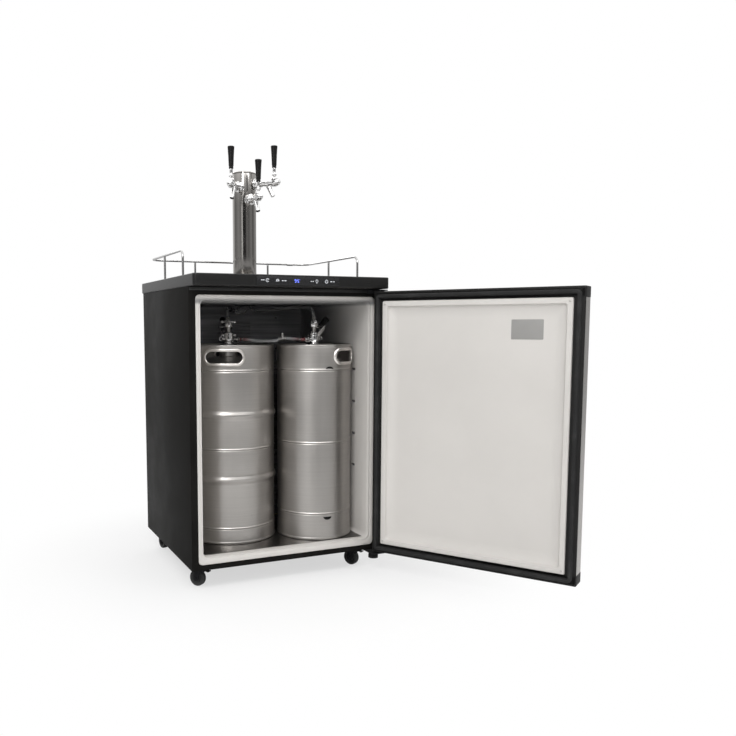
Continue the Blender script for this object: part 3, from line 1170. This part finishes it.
def build_caster(name, side, y, heading):
    """Swivel fork, wheel and, at the front, the brake pedal. +X in its frame is the trail."""
    pivot = empty("caster_" + name, (side * CASTER_X, y, 0), heading)
    crown_top = -SOCKET_HEIGHT - GAP
    crown_low = crown_top - FORK_CROWN_HEIGHT
    inside = WHEEL_HUB_WIDTH / 2 + GAP
    outside = inside + FORK_PLATE
    fork = rod("caster_fork_" + name, FORK_CROWN_RADIUS, (0, 0, crown_top), (0, 0, crown_low), segments=20)
    place(fork, "black_plastic", parent=pivot)
    for edge in (-1, 1):
        y_low = min(edge * inside, edge * outside)
        y_high = max(edge * inside, edge * outside)
        cheek = block("fork_cheek", (-FORK_WIDTH / 2, y_low, AXLE_Z),
                      (CASTER_TRAIL + FORK_WIDTH / 2, y_high, crown_low + BITE))
        round_end = rod("fork_end", FORK_WIDTH / 2, (CASTER_TRAIL, y_low, AXLE_Z),
                        (CASTER_TRAIL, y_high, AXLE_Z),
                        segments=16)
        trim = block("fork_trim", (-FORK_WIDTH, y_low - OVERRUN, AXLE_Z - FORK_WIDTH),
                     (CASTER_TRAIL - FORK_WIDTH / 2, y_high + OVERRUN, AXLE_Z + FORK_WIDTH / 2))
        cut(cheek, trim, parent=pivot)
        join(fork, cheek, round_end, parent=pivot)
    axle = rod("fork_axle", AXLE_RADIUS, (CASTER_TRAIL, -inside - BITE, AXLE_Z),
               (CASTER_TRAIL, inside + BITE, AXLE_Z),
               segments=16)
    socket = rod("fork_socket", KINGPIN_RADIUS + RUNNING, (0, 0, crown_top + OVERRUN),
                 (0, 0, crown_top - KINGPIN_LENGTH))
    join(fork, axle, parent=pivot)
    cut(fork, socket, parent=pivot)

    half = WHEEL_WIDTH / 2
    hub = WHEEL_HUB_WIDTH / 2
    bore = AXLE_RADIUS + RUNNING
    sink = half - WHEEL_RIM_SINK
    soft = WHEEL_TREAD_ROUND
    profile = [(bore, hub), (WHEEL_HUB_RADIUS, hub), (WHEEL_RIM_RADIUS, sink), (WHEEL_RADIUS - soft, half),
               (WHEEL_RADIUS, half - soft), (WHEEL_RADIUS, soft - half), (WHEEL_RADIUS - soft, -half),
               (WHEEL_RIM_RADIUS, -sink), (WHEEL_HUB_RADIUS, -hub), (bore, -hub)]
    wheel = turned("caster_wheel_" + name, profile, 20, closed=True)
    place(wheel, "rubber", parent=pivot, location=(CASTER_TRAIL, 0, AXLE_Z), rotation=(math.pi / 2, 0, 0))

    if name in BRAKED:
        ears = PEDAL_WIDTH / 2 + GAP
        eye_radius = PEDAL_PIN_RADIUS * 2
        for edge in (-1, 1):
            start = min(edge * ears, edge * outside)
            end = max(edge * ears, edge * outside)
            ear = block("brake_ear", (-PEDAL_REACH - eye_radius, start, PEDAL_RISE),
                        (eye_radius - PEDAL_REACH, end, crown_low + BITE))
            ear_end = rod("brake_ear_end", eye_radius, (-PEDAL_REACH, start, PEDAL_RISE),
                          (-PEDAL_REACH, end, PEDAL_RISE), segments=16)
            join(fork, ear, ear_end, parent=pivot)
        pin = rod("brake_pin", PEDAL_PIN_RADIUS, (-PEDAL_REACH, -ears - BITE, PEDAL_RISE),
                  (-PEDAL_REACH, ears + BITE, PEDAL_RISE), segments=12)
        join(fork, pin, parent=pivot)
        tilt = -math.radians(PEDAL_TILT)
        plate = rod("brake_pedal_" + name, eye_radius, (0, -PEDAL_WIDTH / 2, 0), (0, PEDAL_WIDTH / 2, 0),
                    segments=16)
        place(plate, "black_plastic", parent=pivot, location=(-PEDAL_REACH, 0, PEDAL_RISE),
              rotation=(0, tilt, 0))
        tread = block("pedal_tread", (-PEDAL_LENGTH, -PEDAL_WIDTH / 2, -PEDAL_THICKNESS / 2),
                      (0, PEDAL_WIDTH / 2, PEDAL_THICKNESS / 2), corner=PEDAL_THICKNESS / 4, segments=2)
        tread.location = (-PEDAL_REACH, 0, PEDAL_RISE)
        tread.rotation_euler = (0, tilt, 0)
        eye = rod("pedal_eye", PEDAL_PIN_RADIUS + RUNNING, (-PEDAL_REACH, -PEDAL_WIDTH, PEDAL_RISE),
                  (-PEDAL_REACH, PEDAL_WIDTH, PEDAL_RISE), segments=16)
        join(plate, tread, parent=pivot)
        cut(plate, eye, parent=pivot)


def keg_profile(keg):
    """Half section of a keg, from the inside of its floor over the neck to its underside."""
    radius = keg["radius"]
    height = KEG_HEIGHT
    wall = KEG_WALL
    chime = KEG_CHIME
    inner = radius - wall
    hollow = inner - wall * 2
    shoulder = height - KEG_TOP_DISH
    dome = shoulder + KEG_DOME_RISE
    neck_top = height - KEG_NECK_TOP
    outside = [(radius - chime / 2, height), (radius, height - chime / 2)]
    marks = [(height - KEG_CHIME_TOP, KEG_SEAM, -1)]
    marks += [(height * share, KEG_SEAM, -1) for share in keg["seam_shares"]]
    marks += [(height * share, KEG_RIB, 1) for share in keg["rib_shares"]]
    for level, size, way in sorted(marks, reverse=True):
        if way > 0:
            outside += [(inner, level + size * 2), (inner + size, level + size),
                        (inner + size, level - size), (inner, level - size * 2)]
        else:
            outside += [(inner, level + size), (inner - size, level), (inner, level - size)]
    outside += [(radius - chime / 2, chime / 2), (radius - chime, 0)]
    under = [(radius - 2 * chime, 0), (radius - 2 * chime, KEG_BASE_DISH - wall), (0, KEG_BASE_DISH - wall)]
    top = [(KEG_NECK_BORE, shoulder), (KEG_NECK_BORE, neck_top), (KEG_NECK_RADIUS, neck_top),
           (KEG_NECK_RADIUS, dome), (radius - 4 * chime, shoulder), (radius - chime, shoulder),
           (radius - chime, height)]
    inside = [(0, KEG_BASE_DISH), (hollow, KEG_BASE_DISH), (hollow, shoulder - 4 * wall),
              (KEG_NECK_BORE, shoulder)]
    return inside + top[1:] + outside + under


def build_keg(keg):
    """Shell of a keg with its chimes, rolled ribs, weld seams and two hand slots."""
    name = keg["name"]
    pivot = empty("keg_place_" + name, (*keg["place"], KEG_Z), keg["slot"] - 90)
    body = turned("keg_" + name, keg_profile(keg), 32)
    place(body, "steel", parent=pivot)
    half = keg["slot_width"] / 2
    centre = KEG_HEIGHT - KEG_SLOT_CENTRE
    reach = keg["radius"] * 2
    slot = block("keg_slot_" + name, (-reach, -half, centre - KEG_SLOT_HEIGHT / 2),
                 (reach, half, centre + KEG_SLOT_HEIGHT / 2), corner=KEG_SLOT_HEIGHT / 2 - BITE, along=0,
                 segments=4)
    middle = turned("keg_core_" + name,
                    [(0, KEG_HEIGHT + OVERRUN), (keg["radius"] - 3 * KEG_CHIME, KEG_HEIGHT + OVERRUN),
                                         (keg["radius"] - 3 * KEG_CHIME, 0), (0, 0)], 24)
    cut(slot, middle, parent=pivot)
    cut(body, slot, parent=pivot)


def build_coupler(keg):
    """Keg coupler: body on the neck, sliding probe and the lever that presses it down."""
    name = keg["name"]
    spot = (*keg["place"], NECK_Z + GAP)
    pivot = empty("coupler_place_" + name, spot, keg["lever"])
    base = COUPLER_BASE_RADIUS
    body = turned("coupler_body_" + name, [
        (0, COUPLER_BODY_TOP), (COUPLER_WAIST_RADIUS, COUPLER_BODY_TOP),
        (COUPLER_BODY_RADIUS, COUPLER_BODY_TOP - BITE * 3),
        (COUPLER_BODY_RADIUS, COUPLER_INLET_RISE - COUPLER_INLET_RADIUS * 1.4),
        (COUPLER_WAIST_RADIUS, COUPLER_BASE_HEIGHT + BITE), (base - BITE * 3, COUPLER_BASE_HEIGHT),
        (base, COUPLER_BASE_HEIGHT - BITE * 3), (base, 0), (0, 0)], 20)
    place(body, "chrome", parent=pivot)
    turn = math.radians(keg["inlet"] - keg["lever"])
    way = Vector((math.cos(turn), math.sin(turn), 0))
    rise = Vector((0, 0, COUPLER_INLET_RISE))
    inlet = rod("coupler_inlet_" + name, COUPLER_INLET_RADIUS,
                rise + way * (COUPLER_WAIST_RADIUS - BITE * 3),
                rise + way * COUPLER_INLET_REACH, segments=16)
    nut = rod("coupler_nut_" + name, COUPLER_NUT_RADIUS,
              rise + way * (COUPLER_INLET_REACH - COUPLER_NUT_LENGTH),
              rise + way * COUPLER_INLET_REACH, segments=6)
    ear = COUPLER_BODY_RADIUS + COUPLER_ARM_GAP + COUPLER_ARM
    trunnion = rod("coupler_trunnion_" + name, COUPLER_PIVOT_RADIUS, (0, -ear - BITE, COUPLER_PIVOT_RISE),
                   (0, ear + BITE, COUPLER_PIVOT_RISE), segments=16)
    bore = rod("coupler_bore_" + name, COUPLER_BORE, (0, 0, -OVERRUN), (0, 0, COUPLER_BODY_TOP + OVERRUN))
    join(body, inlet, nut, trunnion, parent=pivot)
    cut(body, bore, parent=pivot)

    probe = turned("coupler_probe_" + name, [
        (PROBE_BORE, PROBE_TOP), (PROBE_RADIUS - BITE * 2, PROBE_TOP),
        (PROBE_RADIUS - BITE * 2, PROBE_NUT_START + PROBE_NUT_HEIGHT),
        (PROBE_NUT_RADIUS - BITE, PROBE_NUT_START + PROBE_NUT_HEIGHT),
        (PROBE_NUT_RADIUS, PROBE_NUT_START + PROBE_NUT_HEIGHT - BITE),
        (PROBE_NUT_RADIUS, PROBE_NUT_START + BITE), (PROBE_NUT_RADIUS - BITE, PROBE_NUT_START),
        (PROBE_RADIUS, PROBE_NUT_START), (PROBE_RADIUS, -PROBE_BELOW), (PROBE_BORE, -PROBE_BELOW)], 16,
        closed=True)
    place(probe, "steel", parent=pivot)

    inside = COUPLER_BODY_RADIUS + COUPLER_ARM_GAP
    outside = inside + COUPLER_ARM
    tilt = -math.radians(COUPLER_LIFT)
    frame = empty("coupler_lever_place_" + name)
    frame.parent = pivot
    frame.location = (0, 0, COUPLER_PIVOT_RISE)
    frame.rotation_euler = (0, tilt, 0)
    arm_end = COUPLER_ARM_LENGTH
    lever = rod("coupler_lever_" + name, COUPLER_GRIP_RADIUS, (arm_end, 0, 0),
                (arm_end + COUPLER_GRIP_LENGTH, 0, 0),
                radius_end=COUPLER_GRIP_END, segments=16)
    place(lever, "black_plastic", parent=frame)
    bridge = block("lever_bridge", (arm_end - COUPLER_ARM_WIDTH / 2, -outside, -COUPLER_ARM_WIDTH / 2),
                   (arm_end + COUPLER_ARM_WIDTH / 2, outside, COUPLER_ARM_WIDTH / 2))
    join(lever, bridge, parent=frame)
    for edge in (-1, 1):
        y_low = min(edge * inside, edge * outside)
        y_high = max(edge * inside, edge * outside)
        cheek = block("lever_cheek", (0, y_low, -COUPLER_ARM_WIDTH / 2),
                      (arm_end, y_high, COUPLER_ARM_WIDTH / 2 - BITE / 2))
        eye = rod("lever_eye", COUPLER_ARM_WIDTH / 2 + BITE, (0, y_low, 0), (0, y_high, 0), segments=16)
        join(lever, cheek, eye, parent=frame)
    hole = rod("lever_hole", COUPLER_PIVOT_RADIUS + RUNNING, (0, -outside - OVERRUN, 0),
               (0, outside + OVERRUN, 0),
               segments=16)
    cut(lever, hole, parent=frame)


def probe_tip(keg):
    """Top end of a coupler's probe, where its beer line starts."""
    x, y = keg["place"]
    return Vector((x, y, NECK_Z + GAP + PROBE_TOP))


def elbow_tip(index):
    """Lower end of a shank's elbow inside the tower."""
    _, angle, height = FAUCETS[index]
    turn = math.radians(angle)
    return Vector((math.sin(turn) * ELBOW_REACH, TOWER_Y - math.cos(turn) * ELBOW_REACH,
                   WORKTOP_TOP + height - ELBOW_DROP))


def inlet_tip(keg):
    """End of a coupler's gas inlet, and the way it points."""
    turn = math.radians(keg["inlet"])
    way = Vector((math.cos(turn), math.sin(turn), 0))
    x, y = keg["place"]
    return Vector((x, y, NECK_Z + GAP + COUPLER_INLET_RISE)) + way * COUPLER_INLET_REACH, way


# Routes of the hoses, as chosen by hand: (share of the way, offset to its left, depth below the ceiling)
LEFT_LINE = [(0.081, 0.0066, 0.018), (0.278, 0.0120, 0.012), (0.656, 0.0162, 0.018),
             (0.861, 0.0083, 0.019), (0.962, 0.0029, 0.006), (1.0, 0.0, -0.024)]
RIGHT_LINE = [(0.036, -0.0026, 0.020), (0.148, -0.0032, 0.011), (0.423, -0.0008, 0.014),
              (0.686, -0.0001, 0.018), (0.877, -0.0023, 0.020), (0.971, -0.0014, 0.006), (1.0, 0.0, -0.029)]
MIDDLE_LINE = [(0.0, 0.0, 0.018), (0.403, -0.0059, 0.028), (0.796, -0.0075, 0.020),
               (0.995, -0.0010, -0.004), (1.0, 0.0, -0.034)]
GAS_CROSSING = [(0.223, 0.0250, 0.111), (0.363, 0.0203, 0.116), (0.540, 0.0051, 0.115),
                (0.629, -0.0030, 0.108), (0.745, -0.0162, 0.109)]
LEFT_TEE = 2                    # the left line's point where the middle line branches off
GAS_TEE = 3                     # the crossing's point where the supply comes in


def route_between(start, end, table):
    """Points of a route over the flat way between two places."""
    run = Vector((end[0] - start[0], end[1] - start[1], 0))
    side = Vector((-run.y, run.x, 0)).normalized()
    spots = [Vector((start[0], start[1], 0)) + run * share + side * offset for share, offset, _ in table]
    return [Vector((spot.x, spot.y, TUB_TOP - drop)) for spot, (_, _, drop) in zip(spots, table)]


def held_route(start, way, route, end, end_way):
    """Points of a hose that leaves both of its fittings straight."""
    stub = BEER_LINE_RADIUS * 2
    middle = smooth_route([start + way * (GAP + stub)] + list(route) + [end + end_way * (GAP + stub)],
                          HOSE_STEP)
    return [start + way * GAP] + middle + [end + end_way * GAP]


def build_lines():
    """Beer lines from the probes up to the taps, and the gas line between the couplers."""
    up = Vector((0, 0, 1))
    sides = (("left", KEGS[0], LEFT_LINE, 0, -LINE_SIDE), ("right", KEGS[1], RIGHT_LINE, 2, LINE_SIDE))
    for name, keg, table, tap, x in sides:
        hole = (x, TOWER_Y + LINE_BEHIND)
        route = route_between(keg["place"], hole, table)
        rise = [Vector((*hole, WORKTOP_TOP)), Vector((*hole, WORKTOP_TOP + FAUCETS[tap][2] / 2))]
        points = held_route(probe_tip(keg), up, route + rise, elbow_tip(tap), -up)
        line = wire("beer_line_" + name, points, BEER_LINE_RADIUS)
        place(line, "beer_hose")
        if name == "left":
            tee = route[LEFT_TEE]
            hole = (0, TOWER_Y - LINE_AHEAD)
            branch = route_between(tee, hole, MIDDLE_LINE)[1:]
            rise = [Vector((*hole, WORKTOP_TOP + FAUCETS[1][2] / 2))]
            points = held_route(tee, (branch[0] - tee).normalized(), branch + rise, elbow_tip(1), -up)
            run = (route[LEFT_TEE + 1] - route[LEFT_TEE - 1]).normalized() * TEE_HEIGHT / 2
            join(line, wire("beer_line_branch", points, BEER_LINE_RADIUS),
                 rod("beer_line_tee", TEE_RADIUS, tee - run, tee + run, segments=12))
    left, left_way = inlet_tip(KEGS[0])
    right, right_way = inlet_tip(KEGS[1])
    crossing = route_between(KEGS[0]["place"], KEGS[1]["place"], GAS_CROSSING)
    gas = wire("gas_line", held_route(left, left_way, crossing, right, right_way), GAS_LINE_RADIUS)
    place(gas, "gas_hose")
    tee = crossing[GAS_TEE]
    run = (crossing[GAS_TEE + 1] - crossing[GAS_TEE - 1]).normalized() * TEE_HEIGHT / 2
    join(gas, rod("gas_tee", GAS_TEE_RADIUS, tee - run, tee + run, segments=12),
         rod("gas_stub", GAS_STUB_RADIUS, tee, tee + up * GAS_STUB_HEIGHT, segments=12))


def build_all():
    build_shell()
    build_base_pan()
    build_back_panel()
    build_cord_gland()
    build_foam()
    build_liner()
    build_floor_plate()
    build_air_cover()
    build_compressor()
    build_worktop()
    build_control_panel()
    build_guard_rail()
    build_drip_tray()
    build_tower()
    for name, angle, height in FAUCETS:
        build_faucet(name, angle, height)
    build_door()
    build_gasket()
    build_hinges()
    for caster in CASTERS:
        build_caster(*caster)
    for keg in KEGS:
        build_keg(keg)
        build_coupler(keg)
    build_lines()
    bpy.context.view_layer.update()


build_all()
